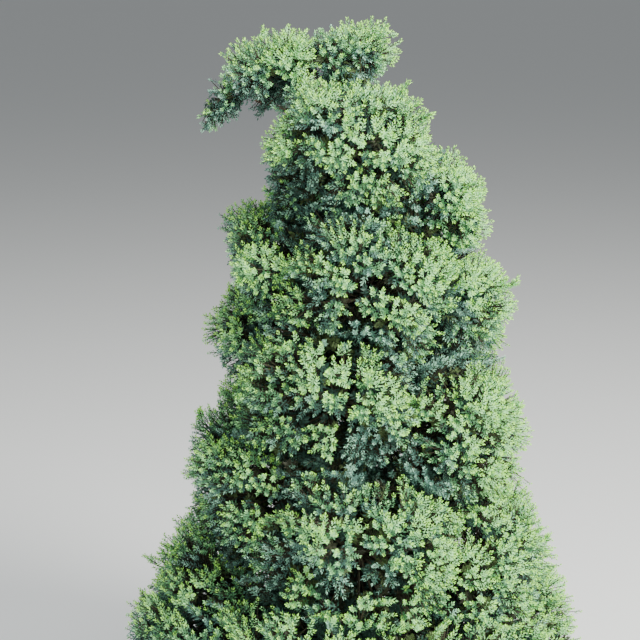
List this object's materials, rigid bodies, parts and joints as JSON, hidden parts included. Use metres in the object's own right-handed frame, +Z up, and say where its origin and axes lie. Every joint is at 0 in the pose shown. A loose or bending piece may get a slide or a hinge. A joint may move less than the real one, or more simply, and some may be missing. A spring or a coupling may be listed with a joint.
{
  "type": "spiral topiary",
  "caption": "Clipped dwarf juniper trained as a spiral: rounded lobes of blue-green needle sprays wind down a leaning trunk on short boughs to a broad skirt.",
  "frame": {"origin": "middle of the flat cut under the trunk, at ground level", "axes": "+Z up along the trunk; -Y is the front, the side the picture shows; +X is to the picture's right"},
  "size_m": [0.609, 0.6302, 0.9355],
  "materials": {
    "bark": "fibrous brown-grey bark that lifts in narrow strips",
    "foliage": "short awl-shaped needles, blue-green with a pale waxy bloom and yellow-green shoot tips"
  },
  "bodies": {
    "root": {"trunk": "bark", "bough_01": "bark", "bough_02": "bark", "bough_03": "bark", "bough_04": "bark", "bough_05": "bark", "bough_06": "bark", "bough_07": "bark", "bough_08": "bark", "bough_09": "bark", "bough_10": "bark", "bough_11": "bark", "bough_12": "bark", "bough_13": "bark", "bough_14": "bark", "bough_15": "bark", "bough_16": "bark", "bough_17": "bark", "bough_18": "bark", "bough_19": "bark", "bough_20": "bark", "bough_21": "bark", "bough_22": "bark", "bough_23": "bark", "bough_24": "bark", "bough_25": "bark", "bough_26": "bark", "bough_27": "bark", "bough_28": "bark", "bough_29": "bark", "crown_top_foliage": "foliage", "crown_side_foliage": "foliage", "crown_wisp_foliage": "foliage", "crown_flank_foliage": "foliage", "crown_back_foliage": "foliage", "spiral_foliage_01": "foliage", "spiral_foliage_02": "foliage", "spiral_foliage_03": "foliage", "spiral_foliage_04": "foliage", "spiral_foliage_05": "foliage", "spiral_foliage_06": "foliage", "spiral_foliage_07": "foliage", "spiral_foliage_08": "foliage", "spiral_foliage_09": "foliage", "spiral_foliage_10": "foliage", "spiral_foliage_11": "foliage", "spiral_foliage_12": "foliage", "spiral_foliage_13": "foliage", "spiral_foliage_14": "foliage", "spiral_foliage_15": "foliage", "spiral_foliage_16": "foliage", "spiral_foliage_17": "foliage", "spiral_foliage_18": "foliage", "spiral_foliage_19": "foliage", "spiral_foliage_20": "foliage", "spiral_foliage_21": "foliage", "spiral_foliage_22": "foliage", "spiral_foliage_23": "foliage", "spiral_foliage_24": "foliage", "spiral_foliage_25": "foliage"}
  },
  "joints": []
}
